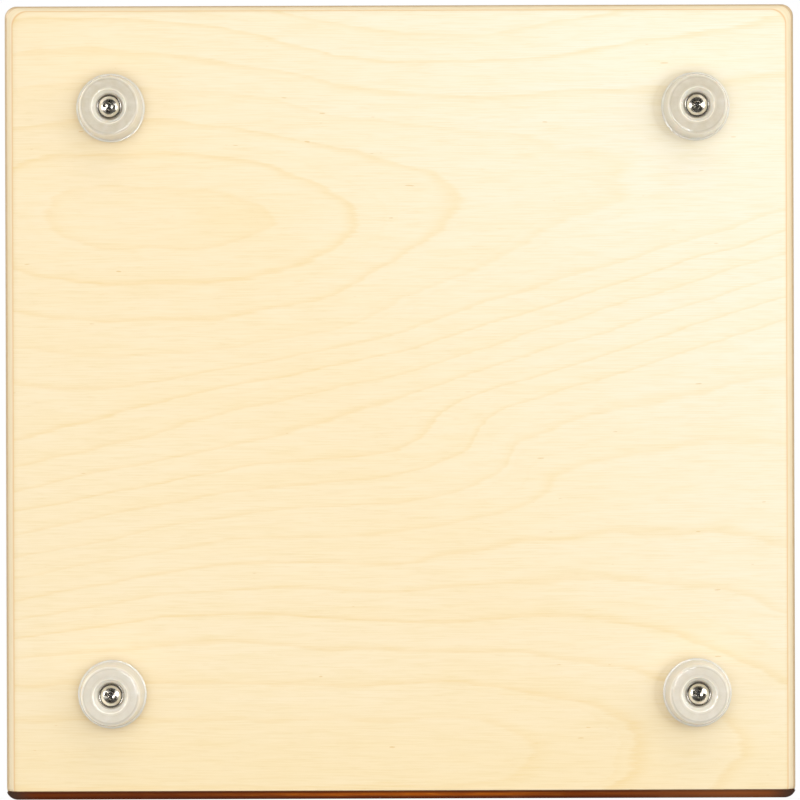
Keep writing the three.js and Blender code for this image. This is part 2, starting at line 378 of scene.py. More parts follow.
def bell(*ways):
    """1 where every way is 0, falling smoothly to 0 by the time one of them is about 2."""
    return (-sum_of_squares(*ways)).exp()


def distance(*ways):
    """The length of a line that goes so far along each way."""
    return sum_of_squares(*ways).root()


def noise(tree, x, y, z, detail=2, roughness=0.5):
    """Smooth noise from 0 to 1, one cell per unit of its coordinates."""
    node = tree.nodes.new("ShaderNodeTexNoise")
    place_in = vector(tree, x, y, z)
    feed(tree, node, {"Scale": 1, "Detail": detail, "Roughness": roughness, "Vector": place_in})
    return Value(tree, node.outputs["Fac"])


def per_number(tree, value, seed):
    """A steady random number from 0 to 1 for each whole number."""
    node = tree.nodes.new("ShaderNodeTexWhiteNoise")
    node.noise_dimensions = "1D"
    connect(tree, value + seed, node.inputs["W"])
    return Value(tree, node.outputs["Value"])


def mix(tree, share, first, second):
    """A blend of two colours, each a Value or a linear RGB triple."""
    node = tree.nodes.new("ShaderNodeMix")
    node.data_type = "RGBA"
    colours = [s for s in node.inputs if s.type == "RGBA"]
    for socket, colour in zip(colours, (first, second)):
        connect(tree, colour if isinstance(colour, Value) else (*colour, 1), socket)
    connect(tree, share, node.inputs["Factor"])
    return Value(tree, [s for s in node.outputs if s.type == "RGBA"][0])


def tint(tree, share, colour, by):
    """The colour with a share of a tint multiplied in."""
    tinted = mix(tree, share, colour, by)
    tinted.socket.node.blend_type = "MULTIPLY"
    return tinted


def bump(tree, height, depth_mm):
    """A normal bent by a height of which 1 stands for the depth."""
    node = tree.nodes.new("ShaderNodeBump")
    feed(tree, node, {"Strength": 1, "Distance": depth_mm * MM, "Height": height})
    return Value(tree, node.outputs["Normal"])


def position(tree):
    """The place in the object's own coordinates, in mm, as three Values."""
    coordinates = tree.nodes.new("ShaderNodeTexCoord")
    parts = tree.nodes.new("ShaderNodeSeparateXYZ")
    tree.links.new(coordinates.outputs["Object"], parts.inputs[0])
    return tuple(Value(tree, socket) / MM for socket in parts.outputs)


def new_material(name):
    """A material, its node tree, its Principled node, and the position."""
    material = bpy.data.materials.new(name)
    material.use_nodes = True
    tree = material.node_tree
    return material, tree, tree.nodes["Principled BSDF"], position(tree)


# Wood


def bottom_rings(u, v):
    """The growth rings that the cut laid open on the bottom panel, as a level: each whole number
    is one dark line. u runs across the panel and v towards its front, in mm from the middle. A
    long oval with tongues lies over slanting lines, and a second oval lies along the front."""
    # The long oval: its axis, which drifts towards the back, and its middle ring
    axis = (u + 25).at_least(0) * -0.14 - 70
    opening = 1 - (-(((u + 85).at_least(0) / 104).power(1.5))).exp()
    middle_ring = opening * 4.2 + (-u - 112).at_least(0) * 0.03 + 0.3

    # Its other rings are up to 13 mm apart
    from_axis = v - axis
    front_spacing = 13 - (u + 20).step(50) * 2.5
    back_spacing = 13 - bell((u - 25) / 90) * 3
    spacing = back_spacing + (front_spacing - back_spacing) * from_axis.step(2)
    tongues = distance(from_axis / spacing, middle_ring) - 1

    # The slanting lines: 8.5 mm apart, wider towards the front, with a jump
    slant = -27.5 - u * 0.2 - u.at_least(0) * 0.11
    jump_line = (u - 42).step(14) * 24 + 10
    jump = ((u + 30).step(30) * 8 + 6) * (v - jump_line).step(9)
    from_slant = v - jump - slant
    widening = (u * 0.00033 + 0.03).at_least(0)
    lines = from_slant / 8.5 + 4 - (from_slant - 45).at_least(0) * widening

    # The oval along the front, open towards one side
    front_ring = (u - 25).at_least(0) * 0.026 + 0.3
    oval = 18 - distance((v - 133) / 13, front_ring)
    lower = lines + (oval - lines) * (v - 92).step(9)
    return tongues + (lower - tongues) * (v - slant).step(6)


def plain_rings(tree, along, across, seed):
    """Rings of an ordinary rotary-cut sheet: long wavy lines with a few islands."""
    spacing, wave_depth, slow_depth = 14, 5, 9
    wave = grain(tree, "wave", along, across, seed)
    slow = grain(tree, "slow_wave", along, across, seed)
    return across / spacing + wave * wave_depth + slow * slow_depth


WOOD = {
    "light": (0.785, 0.663, 0.455),
    "pale": (0.79, 0.742, 0.61),
    "glue": (0.72, 0.47, 0.23),
    "end_grain": (0.66, 0.50, 0.31),
    "long_grain": (0.79, 0.665, 0.45),
}

# What darker wood multiplies into the colour: mostly less blue, as an orange tone does
HONEY = (0.988, 0.95, 0.83)
LINE = (0.93, 0.82, 0.56)
FIBRE = (0.935, 0.895, 0.75)
FLECK = (0.78, 0.58, 0.27)
# The painted shadow round the feet: its tone, and how far in mm it fades
FOOT_SHADOW_TONE = (0.72, 0.66, 0.57)
FOOT_SHADOW_REACH = 1.6

# The tapa's face: amber in its middle, with rings and fibre, to the dark border
STAIN = {
    "amber": (0.33, 0.088, 0.009),
    "flame": (0.46, 0.16, 0.018),
    "ring": (0.16, 0.035, 0.004),
    "fibre": (0.13, 0.030, 0.005),
    "border": (0.020, 0.009, 0.005),
}

# The tapa's edge, from its core to its skin and its two ends; joint is painted shadow in the joint,
# laid on the bottom panel
STAIN_EDGE = {
    "deep": (0.20, 0.036, 0.0),
    "bright": (0.32, 0.070, 0.0),
    "fibre": (0.48, 0.145, 0.002),
    "sides": (0.082, 0.013, 0.0),
    "rubbed": (0.21, 0.058, 0.012),
    "skin": (0.060, 0.010, 0.001),
    "worn": (0.15, 0.052, 0.016),
    "ends": (0.045, 0.024, 0.015),
    "joint": (0.10, 0.026, 0.003),
}

# One noise seed for each sheet
SHEET = {"bottom": 1, "seat": 11, "left": 21, "right": 26, "back": 31, "raw": 41, "tapa": 51}

# Noises of a birch face: length and width of a cell in mm, added seed, detail, roughness
GRAIN = {
    "wave": (210, 90, 0, 1, 0.5),
    "slow_wave": (520, 160, 3.7, 0, 0.5),
    "sway": (38, 12, 1.3, 2, 0.5),
    "comb": (20, 0.9, 5.1, 2, 0.5),
    "streak": (20, 0.7, 2.4, 3, 0.6),
    "band": (60, 4.5, 3.1, 2, 0.5),
    "thread": (13, 0.5, 9.2, 1, 0.5),
    "pore": (5, 0.32, 6.6, 1, 0.5),
    "spot": (6.5, 1.4, 4.8, 1, 0.5),
    "patch": (110, 60, 7.9, 1, 0.5),
}

# Added seeds for a ring's fine lines and its paler steps
HAIR_SEED = 20
PLATEAU_SEED = 40

# Plywood: the thickness of a face veneer and of each layer under it
VENEER = 0.5
PLY = 1.57


def grain(tree, kind, along, across, seed):
    """One of the noises of a birch face."""
    length, width, added, detail, roughness = GRAIN[kind]
    return noise(tree, along / length, across / width, seed + added, detail, roughness)


def figured(tree, along, across, level, seed, light, flecks=0.0):
    """The colour of a birch face and a height for its bump. Each whole number of the level is a
    dark line, which the wood before it leads up to and the wood after it is palest."""

    def layer(kind):
        return grain(tree, kind, along, across, seed)

    sway = layer("sway")
    comb = layer("comb")
    wobbled = level + (sway - 0.5) * 0.45 + (comb - 0.5) * 0.16 + 0.5
    index = wobbled.floor()
    phase = wobbled - index
    rise = phase.ramp(0.12, 0.5).power(5)
    drop = 1 - phase.ramp(0.5, 0.56)
    strength = per_number(tree, index, seed) * 0.5 + 0.5
    ring = rise * drop * strength
    minor = wobbled * 2.7
    minor_index = minor.floor()
    hair = (minor - minor_index).ramp(0.5, 1.0).power(3)
    hair = hair * per_number(tree, minor_index, seed + HAIR_SEED)
    late = (phase + 0.5).fraction()
    plateau = per_number(tree, (wobbled * 1.5).floor(), seed + PLATEAU_SEED)
    streak = layer("streak")
    band = layer("band").ramp(0.35, 0.7)
    thread_line = layer("thread").ramp(0.42, 0.68)
    pore = layer("pore").ramp(0.62, 0.78)
    spot = (layer("spot") + flecks).ramp(0.79, 0.82)
    colour = tint(tree, late * 0.16 + plateau * 0.18 + band * 0.2, light, HONEY)
    colour = tint(tree, ring * 0.37 + hair * 0.10, colour, LINE)
    colour = tint(tree, (streak.ramp(0.35, 0.8) + thread_line) * 0.36, colour, FIBRE)
    colour = tint(tree, pore * 0.2, colour, LINE)
    colour = tint(tree, spot * 0.5, colour, FLECK)
    height = streak * 0.6 - pore * 0.6 - ring * 0.3
    return colour, height


def patchy(tree, along, across, seed):
    """The plain tone of a sheet, a little paler in places."""
    patch = grain(tree, "patch", along, across, seed)
    return mix(tree, patch * 0.6, WOOD["light"], WOOD["pale"])


def plies(tree, depth, along, face, total=PANEL):
    """Covers a face's colour with the layers of plywood wherever the cut is deeper than the face
    veneer. depth is the distance under the outer face, in mm, and total the sheet's thickness."""
    from_face = depth.at_most(total - depth)
    order = (from_face - VENEER) / PLY
    layer = (order / 2).fraction().ramp(0.47, 0.53)
    seam = (order.fraction() - 0.5).absolute().ramp(0.44, 0.5)
    short_grain = noise(tree, along / 1.2, depth / 0.35, 3.3)
    long_grain = noise(tree, along / 18, depth / 0.3, 8.1)
    end = tint(tree, short_grain.ramp(0.35, 0.7) * 0.6, WOOD["end_grain"], LINE)
    length = tint(tree, long_grain.ramp(0.4, 0.7) * 0.5, WOOD["long_grain"], FIBRE)
    cut = mix(tree, layer, length, end)
    cut = mix(tree, seam * 0.75, cut, WOOD["glue"])
    face = tint(tree, from_face.ramp(0.02, VENEER) * 0.7, face, HONEY)
    whole = mix(tree, from_face.ramp(VENEER - 0.12, VENEER + 0.02), face, cut)
    glue_line = 1 - (from_face - VENEER).absolute().ramp(0.06, 0.18)
    return mix(tree, glue_line * 0.6, whole, WOOD["glue"])


def finish_wood(tree, shader, colour, height, roughness=0.42, coat=0.25, depth=0.05):
    """Colour, a thin coat of lacquer, and a grain of the given depth in mm."""
    feed(tree, shader, {
        "Base Color": colour,
        "Coat Weight": coat,
        "Coat Roughness": 0.25,
        "Roughness": height * 0.12 + (roughness - 0.05),
        "Normal": bump(tree, height, depth),
    })


def bottom_material():
    """The underside: whiter towards its back left corner, partly its own tone and partly painted
    sheen, honey along the tapa, with painted shadow round the feet and in the joint with the tapa."""
    material, tree, shader, (x, y, z) = new_material("birch_bottom")
    u, v = -x, -y
    # Painted sheen, partly the wood's own tone: the face grows paler towards its back left corner
    paler = (u * 0.0042 - v * 0.0034 + 0.12).at_least(0).at_most(0.9)
    light = mix(tree, paler, WOOD["light"], WOOD["pale"])
    blotch = bell((u + 62) / 22, (v + 70) / 8)
    light = tint(tree, (blotch * 0.6 + v.ramp(95, 150) * 0.6).at_most(1), light, HONEY)
    zone = bell((u + 30) / 50, (v + 98) / 14)
    level = bottom_rings(u, v)
    colour, height = figured(tree, u, v, level, SHEET["bottom"], light, flecks=zone * 0.05)
    colour = plies(tree, z - BASE, x + y, colour)
    right, front = foot_middle("front_right")
    back = foot_middle("back_right")[1]
    # Painted shadow round each foot, darkest at its edge and fading outwards
    for row in (front, back):
        away = distance(x.absolute() - abs(right), y - row) - FOOT_R
        near = (-(away.at_least(0) / FOOT_SHADOW_REACH)).exp()
        colour = tint(tree, near * 0.5, colour, FOOT_SHADOW_TONE)
    # Painted shadow in the joint: a thin dark strip of the panel along the tapa
    joint_shadow_share = 1 - (y - JOINT).ramp(0.3, 0.5)
    colour = mix(tree, joint_shadow_share, colour, STAIN_EDGE["joint"])
    finish_wood(tree, shader, colour, height)
    return material


def plain_birch(tree, along, across, seed):
    """The colour and height of an ordinary sheet's face."""
    light = patchy(tree, along, across, seed)
    level = plain_rings(tree, along, across, seed)
    return figured(tree, along, across, level, seed, light)


def birch_material(sheet, pick):
    """Any other birch panel. pick takes x, y, z and gives the ways along and across its grain,
    the depth under its outer face, the way along its edges, and its thickness."""
    material, tree, shader, place_in = new_material(f"birch_{sheet}")
    along, across, depth, edge, total = pick(*place_in)
    colour, height = plain_birch(tree, along, across, SHEET[sheet])
    finish_wood(tree, shader, plies(tree, depth, edge, colour, total), height)
    return material


def raw_material():
    """Bare birch with its grain along X, for the parts inside the box."""
    material, tree, shader, (x, y, z) = new_material("birch_raw")
    colour, height = plain_birch(tree, x, y + z, SHEET["raw"])
    finish_wood(tree, shader, colour, height, roughness=0.7, coat=0.0, depth=0.1)
    return material


def end_on(z):
    """1 on the lower and upper edges of the tapa, 0 elsewhere."""
    return ((z - MIDDLE).absolute() - (TOP - BASE) / 2 + 0.5).ramp(0, 0.3)


def tapa_edge(tree, x, y):
    """The stained edge of the sheet: a dark skin outside, an amber core that is brightest in the
    middle, painted shadow along the joint side, and a rubbed place near one end."""
    seed = SHEET["tapa"]
    fibre = noise(tree, x / 9, y / 0.35, seed + 6, detail=3, roughness=0.6)
    broad = noise(tree, x / 26, y / 1.2, seed + 7)
    deep = (y - FRONT) / (JOINT - FRONT)
    core = mix(tree, broad.ramp(0.3, 0.7), STAIN_EDGE["deep"], STAIN_EDGE["bright"])
    core = mix(tree, fibre.ramp(0.45, 0.8) * 0.8, core, STAIN_EDGE["fibre"])
    core = mix(tree, (1 - bell(x / 60)) * 0.85, core, STAIN_EDGE["sides"])
    worn = noise(tree, x / 18, 1.0, seed + 8).ramp(0.55, 0.75) * 0.4
    rubbed = bell((x + 125) / 30)
    core = mix(tree, rubbed * 0.7, core, STAIN_EDGE["rubbed"])
    bare = (worn + rubbed * 0.6).at_most(1)
    skin = mix(tree, bare, STAIN_EDGE["skin"], STAIN_EDGE["worn"])
    # The dark skin on the outer side, and the same dark tone on the joint side as painted shadow
    edge = (1 - deep.ramp(0.2, 0.6)) * 0.95 + deep.ramp(0.7, 0.92) * 0.85
    core = mix(tree, edge.at_most(1), core, skin)
    return mix(tree, x.absolute().ramp(138, 149), core, STAIN_EDGE["ends"])


def tapa_material():
    """A stained sheet, amber in the middle and nearly black round the edge, under clear lacquer.
    Its hidden inner face is bare birch."""
    material, tree, shader, (x, y, z) = new_material("tapa_stain")
    seed = SHEET["tapa"]
    level = plain_rings(tree, z, x, seed)
    sway = noise(tree, z / 60, x / 7, seed + 1, detail=3)
    figure = ((level + sway * 1.4) * 2).fraction()
    flame = noise(tree, z / 14, x / 30, seed + 2).ramp(0.35, 0.7)
    fibre = noise(tree, z / 26, x / 0.6, seed + 3, detail=3, roughness=0.6)
    across = (x / HALF_W).absolute()
    up = ((z - MIDDLE) / (TOP - MIDDLE)).absolute()
    inset = (across.power(3) + up.power(4) * 0.9 + (fibre - 0.5) * 0.12).at_most(1)
    amber = mix(tree, flame * 0.5, STAIN["amber"], STAIN["flame"])
    amber = mix(tree, figure.ramp(0.5, 1.0) * 0.45, amber, STAIN["ring"])
    amber = mix(tree, fibre.ramp(0.4, 0.7) * 0.4, amber, STAIN["fibre"])
    stained = mix(tree, inset.ramp(0.2, 1.0), amber, STAIN["border"])
    end = end_on(z)
    stained = mix(tree, end, stained, tapa_edge(tree, x, y))
    bare, _ = figured(tree, z, x, level, seed, WOOD["light"])
    inside = (y - JOINT + 0.15).ramp(0, 0.1) * (INNER_X - x.absolute()).ramp(0, 0.1)
    inside = inside * (1 - end)
    feed(tree, shader, {
        "Base Color": mix(tree, inside, stained, bare),
        "Roughness": inside * 0.4 + 0.28,
        "Specular IOR Level": 0.1,
        "Coat Weight": 0.25,
        "Coat Roughness": 0.1,
        "Normal": bump(tree, fibre, 0.03),
    })
    return material


# Rubber and metal

# The rubber's tones: lit, clear and flank are paler tones painted where light falls or comes through,
# glow is a painted glow, and dust also darkens the painted shade lines
RUBBER = {
    "body": (0.63, 0.565, 0.43),
    "cloud": (0.71, 0.655, 0.54),
    "flow": (0.78, 0.74, 0.65),
    "lit": (0.96, 0.90, 0.78),
    "clear": (0.93, 0.89, 0.81),
    "flank": (0.98, 0.95, 0.88),
    "dust": (0.50, 0.44, 0.34),
    "glow": (1, 0.88, 0.70),
}

# Radii where the zones of a foot begin and end, and of the thin painted shade lines where its face
# meets its roundings
WALL_ZONE = (6.2, 6.9)
FLANK_ZONE = (10.5, 11.2)
RIM_ZONE = (12.0, 12.5)
OUTER_LINE = 10.2
INNER_LINE = 7.6

# Plated metals: the two tones that each varies between
NICKEL = ((0.74, 0.70, 0.62), (0.60, 0.555, 0.47))
DULL_NICKEL = ((0.50, 0.48, 0.45), (0.38, 0.36, 0.33))
SNARE_STEEL = ((0.62, 0.63, 0.65), (0.50, 0.50, 0.50))
BLACK_OXIDE = ((0.035, 0.035, 0.038), (0.06, 0.055, 0.05))
# Painted shade in a screw's cross, and the tone of its burrs
RECESS_SHADE = (0.10, 0.088, 0.070)
BURR = (0.85, 0.82, 0.76)


def rubber_material(name, painted_light_share):
    """Clear, slightly milky rubber with dust in its skin and thin painted shade lines where its face
    meets its roundings. The recess wall glows and is painted paler, and the rim and the flank are
    painted paler, as painted light for the light that comes through. The second argument is the share
    of a paler tone, painted light, that the face takes. Each foot's origin is on its axis."""
    material, tree, shader, (x, y, z) = new_material(name)
    r = distance(x, y)
    cloud = noise(tree, x / 4, y / 4, z / 4, detail=3)
    flow = noise(tree, x / 14, y / 3, z / 5)
    dust = noise(tree, x / 0.7, y / 0.7, z / 0.7).ramp(0.62, 0.8)
    colour = mix(tree, cloud.ramp(0.3, 0.7), RUBBER["body"], RUBBER["cloud"])
    colour = mix(tree, flow.ramp(0.5, 0.7) * 0.5, colour, RUBBER["flow"])
    # Painted light: the recess wall and the rim are painted paler, and the wall also glows
    wall = 1 - r.ramp(*WALL_ZONE)
    rim = r.ramp(*RIM_ZONE)
    colour = mix(tree, (wall + rim * 0.7).at_most(1), colour, RUBBER["lit"])
    # Painted light: the front feet take more of the paler tone than the back ones
    colour = mix(tree, painted_light_share, colour, RUBBER["clear"])
    # Painted light: the flank is painted paler, where it catches little light
    flank = r.ramp(*FLANK_ZONE) * (1 - rim)
    colour = mix(tree, flank * 0.45, colour, RUBBER["flank"])
    # Painted shade: thin darker lines where the face meets its roundings, mixed with the dust
    ring = bell((r - OUTER_LINE) / 0.22) + bell((r - INNER_LINE) / 0.2) * 0.3
    colour = mix(tree, (dust * 0.2 + ring * 0.5).at_most(1), colour, RUBBER["dust"])
    feed(tree, shader, {
        "Base Color": colour,
        "Emission Color": (*RUBBER["glow"], 1),
        # The recess wall's painted glow
        "Emission Strength": wall * 0.17,
        "Roughness": cloud * 0.08 + dust * 0.15 + 0.05,
        "IOR": 1.47,
        "Transmission Weight": 0.25,
        "Subsurface Weight": 0.8,
        "Subsurface Radius": (1.0, 0.9, 0.75),
        "Subsurface Scale": 2.0 * MM,
        "Normal": bump(tree, cloud + flow * 0.5, 0.12),
    })
    return material


def metal_material(name, tones, roughness, turned=0.0):
    """Plated steel: small changes of tone, fine scratches and a little tarnish, with highlights
    drawn out by its turned surface."""
    material, tree, shader, (x, y, z) = new_material(name)
    tarnish = noise(tree, x / 2.2, y / 2.2, z / 2.2, detail=3)
    scratch = noise(tree, x / 0.25, y / 2.5, z / 0.4)
    feed(tree, shader, {
        "Base Color": mix(tree, tarnish.ramp(0.35, 0.75), *tones),
        "Metallic": 1,
        "Anisotropic": turned,
        "Roughness": scratch * 0.12 + tarnish * 0.10 + (roughness - 0.1),
        "Normal": bump(tree, scratch, 0.01),
    })
    return material


def shaded_recess_screw_material(name, tones, roughness, size):
    """The same plating on a screw in its own coordinates, with painted shade and burrs in its cross.
    """
    material = metal_material(name, tones, roughness)
    tree = material.node_tree
    colour_input = tree.nodes["Principled BSDF"].inputs["Base Color"]
    x, y, z = position(tree)
    r = distance(x, y)
    under = z - dome_height(r, size)
    # Painted shade in the cross, darker towards its bottom
    inside = under.ramp(0.08, 0.35) * (1 - (r / size.head).ramp(0.85, 0.9))
    burr = noise(tree, x / 0.5, y / 0.5, z / 0.5).ramp(0.44, 0.56)
    plating = Value(tree, colour_input.links[0].from_socket)
    recess_shade_and_burrs = mix(tree, burr * 0.85, RECESS_SHADE, BURR)
    connect(tree, mix(tree, inside * 0.9, plating, recess_shade_and_burrs), colour_input)
    return material


# The box


def front_corner(x):
    """The rounded edge where a panel at x meets the tapa."""
    return arc(x - CORNER, FRONT + CORNER, CORNER, -JOINT_TURN, 0, 4)


def plan_ring(z, inset=0.0):
    """The box's plan outline behind the tapa, drawn in by a share of each edge's rounding."""
    side_inset = EDGE_SIDE * inset
    x, y = HALF_W - side_inset, REAR - EDGE_BACK * inset
    r = CORNER + CORNER_GROWTH * side_inset
    right = front_corner(x) + arc(x - r, y - r, r, 0, QUARTER, 14)
    left = [(-px, py) for px, py in reversed(right)]
    return [(px, py, z) for px, py in right + left]


def capping_panel(name, inner, outer, material):
    """A capping panel: a flat inner face, a straight edge, then a quarter round."""
    outward = math.copysign(1, outer - inner)
    rings = [plan_ring(inner)]
    for angle in spread(17, 0, QUARTER):
        z = outer - outward * EDGE_RISE * (1 - math.sin(angle))
        rings.append(plan_ring(z, 1 - math.cos(angle)))
    return stack(name, rings, material)


def rod(radius, low, high, material, turn, at):
    """A round cutter along Z between two heights, then turned and placed."""
    profile = [(0, low), (radius, low), (radius, high), (0, high)]
    return place(lathe("rod", profile, material, 32), at, turn)


TO_BACK = Matrix.Rotation(-QUARTER, 4, "X")
LINE_X = HALF_W - PANEL / 2
ROWS = spread(5, BASE + PANEL / 2, TOP - PANEL / 2)
COLUMNS = spread(5, -LINE_X, LINE_X)
FEET = ["front_left", "front_right", "back_left", "back_right"]


def foot_middle(corner):
    """Where a foot stands, as x and y."""
    return centre(f"foot_{corner}")[:2]


def front_pilot(x, z, material):
    """The cutter for a tapa screw's hole in the edge of a panel."""
    deep = TAPA_SCREW.length + TAPA_SCREW.rise + 1
    return rod(TAPA_SCREW.shank + GAP, -1, deep, material, TO_BACK, (x, JOINT, z))


def extrude_up(name, outline, low, high, material):
    """A solid of one plan outline between two heights."""
    return stack(name, [[(x, y, z) for x, y in outline] for z in (low, high)], material)


def side_panel(name, hand, material):
    """A side panel between the capping panels, with a rebate for the back panel."""
    rebate = [(BACK_HIGH.x, REAR), (BACK_HIGH.x, REAR - BACK), (INNER_X, REAR - BACK)]
    rear_corner = arc(HALF_W - CORNER, REAR - CORNER, CORNER, 0, QUARTER, 14)
    outline = [(INNER_X, JOINT)] + front_corner(HALF_W) + rear_corner + rebate
    placed = [(hand * px, py) for px, py in outline]
    panel = extrude_up(name, placed, SIDE_LOW.z, SIDE_HIGH.z, material)
    pilots = [front_pilot(hand * LINE_X, z, material) for z in ROWS[1:-1]]
    return subtract(panel, pilots)


def back_panel(material):
    """The thin back panel, with its sound hole eased at both faces."""
    low, high = BACK_LOW, BACK_HIGH
    plan = [
        (low.x, low.y), (high.x, low.y), (high.x, high.y - EASE), (high.x - EASE, high.y),
        (low.x + EASE, high.y), (low.x, high.y - EASE),
    ]
    panel = extrude_up("back", plan, low.z, high.z, material)
    wide = SOUND_HOLE_R + HOLE_EASE
    ease = arc(wide, -HOLE_EASE, HOLE_EASE, math.pi, QUARTER, 6)
    mirrored = [(r, -BACK - z) for r, z in reversed(ease)]
    outside, inside = [(0, 1), (wide, 1)], [(wide, -BACK - 1), (0, -BACK - 1)]
    profile = outside + ease[::-1] + mirrored[::-1] + inside
    hole = place(lathe("hole", profile, material, 128), (0, REAR, SOUND_HOLE_Z), TO_BACK)
    return subtract(panel, [hole])


def tapa_ring(z, inset=0.0):
    """The tapa's plan outline, drawn in by an inset."""
    x = HALF_W - inset
    corner = arc(x - CORNER, FRONT + inset + CORNER, CORNER, -QUARTER, -JOINT_TURN, 10)
    corner = [(px, min(py, JOINT)) for px, py in corner]
    mirrored = [(-px, py) for px, py in reversed(corner)]
    return [(px, py, z) for px, py in corner + mirrored]


def tapa_plate(material, places):
    """The playing plate, eased at its lower and upper edges and countersunk for its screws."""
    rings = []
    for angle in spread(5, 0, QUARTER):
        rise, inset = EASE * (1 - math.sin(angle)), EASE * (1 - math.cos(angle))
        rings.append(tapa_ring(BASE + rise, inset))
    rings = rings[::-1]
    rings += [[(x, y, BASE + TOP - z) for x, y, z in ring] for ring in reversed(rings)]
    plate = stack("tapa_plate", rings, material)
    head, rise, shank = TAPA_SCREW.head, TAPA_SCREW.rise, TAPA_SCREW.shank
    depth = JOINT - FRONT
    profile = [
        (0, depth + 1), (shank + GAP, depth + 1), (shank + GAP, rise + GAP),
        (head + GAP, GAP / 2), (head + GAP, -1), (0, -1),
    ]
    cutters = [place(lathe("sink", profile, material, 40), (x, FRONT, z), TO_BACK) for x, z in places]
    return subtract(plate, cutters)


# Fasteners: the head's bearing plane is at z = 0, the head is below it and the shank above


def cross_recess(size, material):
    """A tapered cross that narrows towards its bottom."""
    reach, wide = CROSS_REACH * size.head, CROSS_WIDTH * size.head
    low, depth = -size.rise - OVERCUT, CROSS_DEPTH * size.rise
    rings = []
    for deep, share in CROSS_LEVELS:
        a, b = reach * share, wide * (0.5 + 0.5 * share)
        quarter = [(a, -b), (a, b), (b, b)]
        plan = []
        for turn in range(4):
            c, s = math.cos(turn * QUARTER), math.sin(turn * QUARTER)
            plan += [(px * c - py * s, px * s + py * c, low + depth * deep) for px, py in quarter]
        rings.append(plan)
    return stack("cross", rings, material)


def dome_height(r, size):
    """The height of a pan head's crown at a distance r from its axis, a number or a Value."""
    share = r / size.head * CROWN_REACH
    if isinstance(share, Value):
        fall = 1 - (1 - share.squared()).at_least(0).root()
    else:
        fall = 1 - math.sqrt(1 - share ** 2)
    return fall * (CROWN_RISE * size.rise) - size.rise


def thread(size):
    """The shank's profile, from the head to the tip."""
    r, length, pitch = size.shank, size.length, size.pitch
    profile = [(r * NECK, 0), (r * NECK, pitch)]
    z = pitch
    while z + pitch < length - 0.2:
        taper = min(1, (length - z) / TIP)
        profile += [(ROOT * r * taper, z + ROOT_AT * pitch), (r * taper, z + CREST_AT * pitch)]
        z += pitch
    return profile + [(0, length)]


def pan_screw(name, size, material):
    """A screw with a domed head and a cross recess."""
    head, rise = size.head, size.rise
    band, chamfer = 0.12 * rise, 0.08 * rise
    dome = [(r, dome_height(r, size)) for r in spread(11, 0, head)]
    edge = dome[-1][1]
    dome += [(head, edge + band), (head, -chamfer), (head - chamfer, 0)]
    screw = lathe(name, dome + thread(size), material, 48)
    return subtract(screw, [cross_recess(size, material)])


def flat_screw(name, size, material):
    """A screw with a flat, countersunk head and a cross recess."""
    head, rise = size.head, size.rise
    bevel_in, bevel_up, rim = 0.12, 0.1, 0.25
    face = [(0, -rise), (head - bevel_in, -rise), (head, -rise + bevel_up), (head, -rise + rim)]
    screw = lathe(name, face + [(size.shank, 0)] + thread(size), material, 40)
    return subtract(screw, [cross_recess(size._replace(rise=rise * 0.9), material)])


def copy_of(obj, name):
    """Another object with its own copy of the mesh."""
    return new_object(name, obj.data.copy())


# Feet


def foot_profile():
    """The tapered foot with its stepped bore, from the bore's top round to the top again."""
    bore = [(BORE_R, FOOT_H), (BORE_R, RECESS_Z), (RECESS_R, RECESS_Z)]
    step = [(RECESS_R, STEP_Z), (RECESS_R + STEP_OUT, STEP_Z - STEP_H)]
    mouth = arc(*FOOT_MOUTH, math.pi, QUARTER * 3, 6)
    shoulder = arc(*FOOT_SHOULDER, -QUARTER, -math.pi / 18, 10)
    flange = arc(*FOOT_FLANGE, math.pi, QUARTER, 5)
    return bore + step + mouth + shoulder + flange + [(FOOT_R, FOOT_H - 1), (FOOT_R, FOOT_H)]


def washer_profile():
    """A dished washer that lies in the bottom of the foot's recess, its bead towards the floor."""
    chamfer = 0.1
    plate = [(BORE_R, RECESS_Z), (BORE_R, BEARING_Z), (WASHER_R - 2 * BEAD_R, BEARING_Z)]
    bead = arc(WASHER_R - BEAD_R, BEAD_Z, BEAD_R, math.pi, math.pi * 2, 14)
    return plate + bead + [(WASHER_R, RECESS_Z - chamfer), (WASHER_R - chamfer, RECESS_Z)]


# Snares


def snare_path(x):
    """The middle line of one strand: up from the strip, leaning out to lie along the tapa."""
    soldered = BAR_LOW.y - STRIP_T - STRAND_R + 0.3
    touching = JOINT + STRAND_R + GAP
    low, high = box_mm("snare_left")
    strip_top = low.z + STRIP_H
    start = strip_top - STRIP_H / 2 + 1
    lean_end = strip_top + STRAND_RISE
    count = COILS * STEPS_PER_COIL
    points = []
    for i in range(count + 1):
        z = start + (high.z - start) * i / count
        t = min(max((z - strip_top) / (lean_end - strip_top), 0), 1)
        ease = t * t * (3 - 2 * t)
        points.append(Vector((x, soldered + (touching - soldered) * ease, z)))
    return points


def coil(x, material):
    """One strand: a fine wire wound round its middle line."""
    radius = STRAND_R - WIRE_R
    sides = 4
    middle = snare_path(x)
    rings = []
    for i, point in enumerate(middle):
        angle = 2 * math.pi * i * COILS / (len(middle) - 1)
        out = Vector((math.cos(angle), math.sin(angle), 0))
        ring = []
        for k in range(sides):
            turn = 2 * math.pi * k / sides
            up = Vector((0, 0, WIRE_R * math.sin(turn)))
            ring.append(tuple(point + (out * (radius + WIRE_R * math.cos(turn)) + up)))
        rings.append(ring)
    return stack("strand", rings, material, sharp=180)


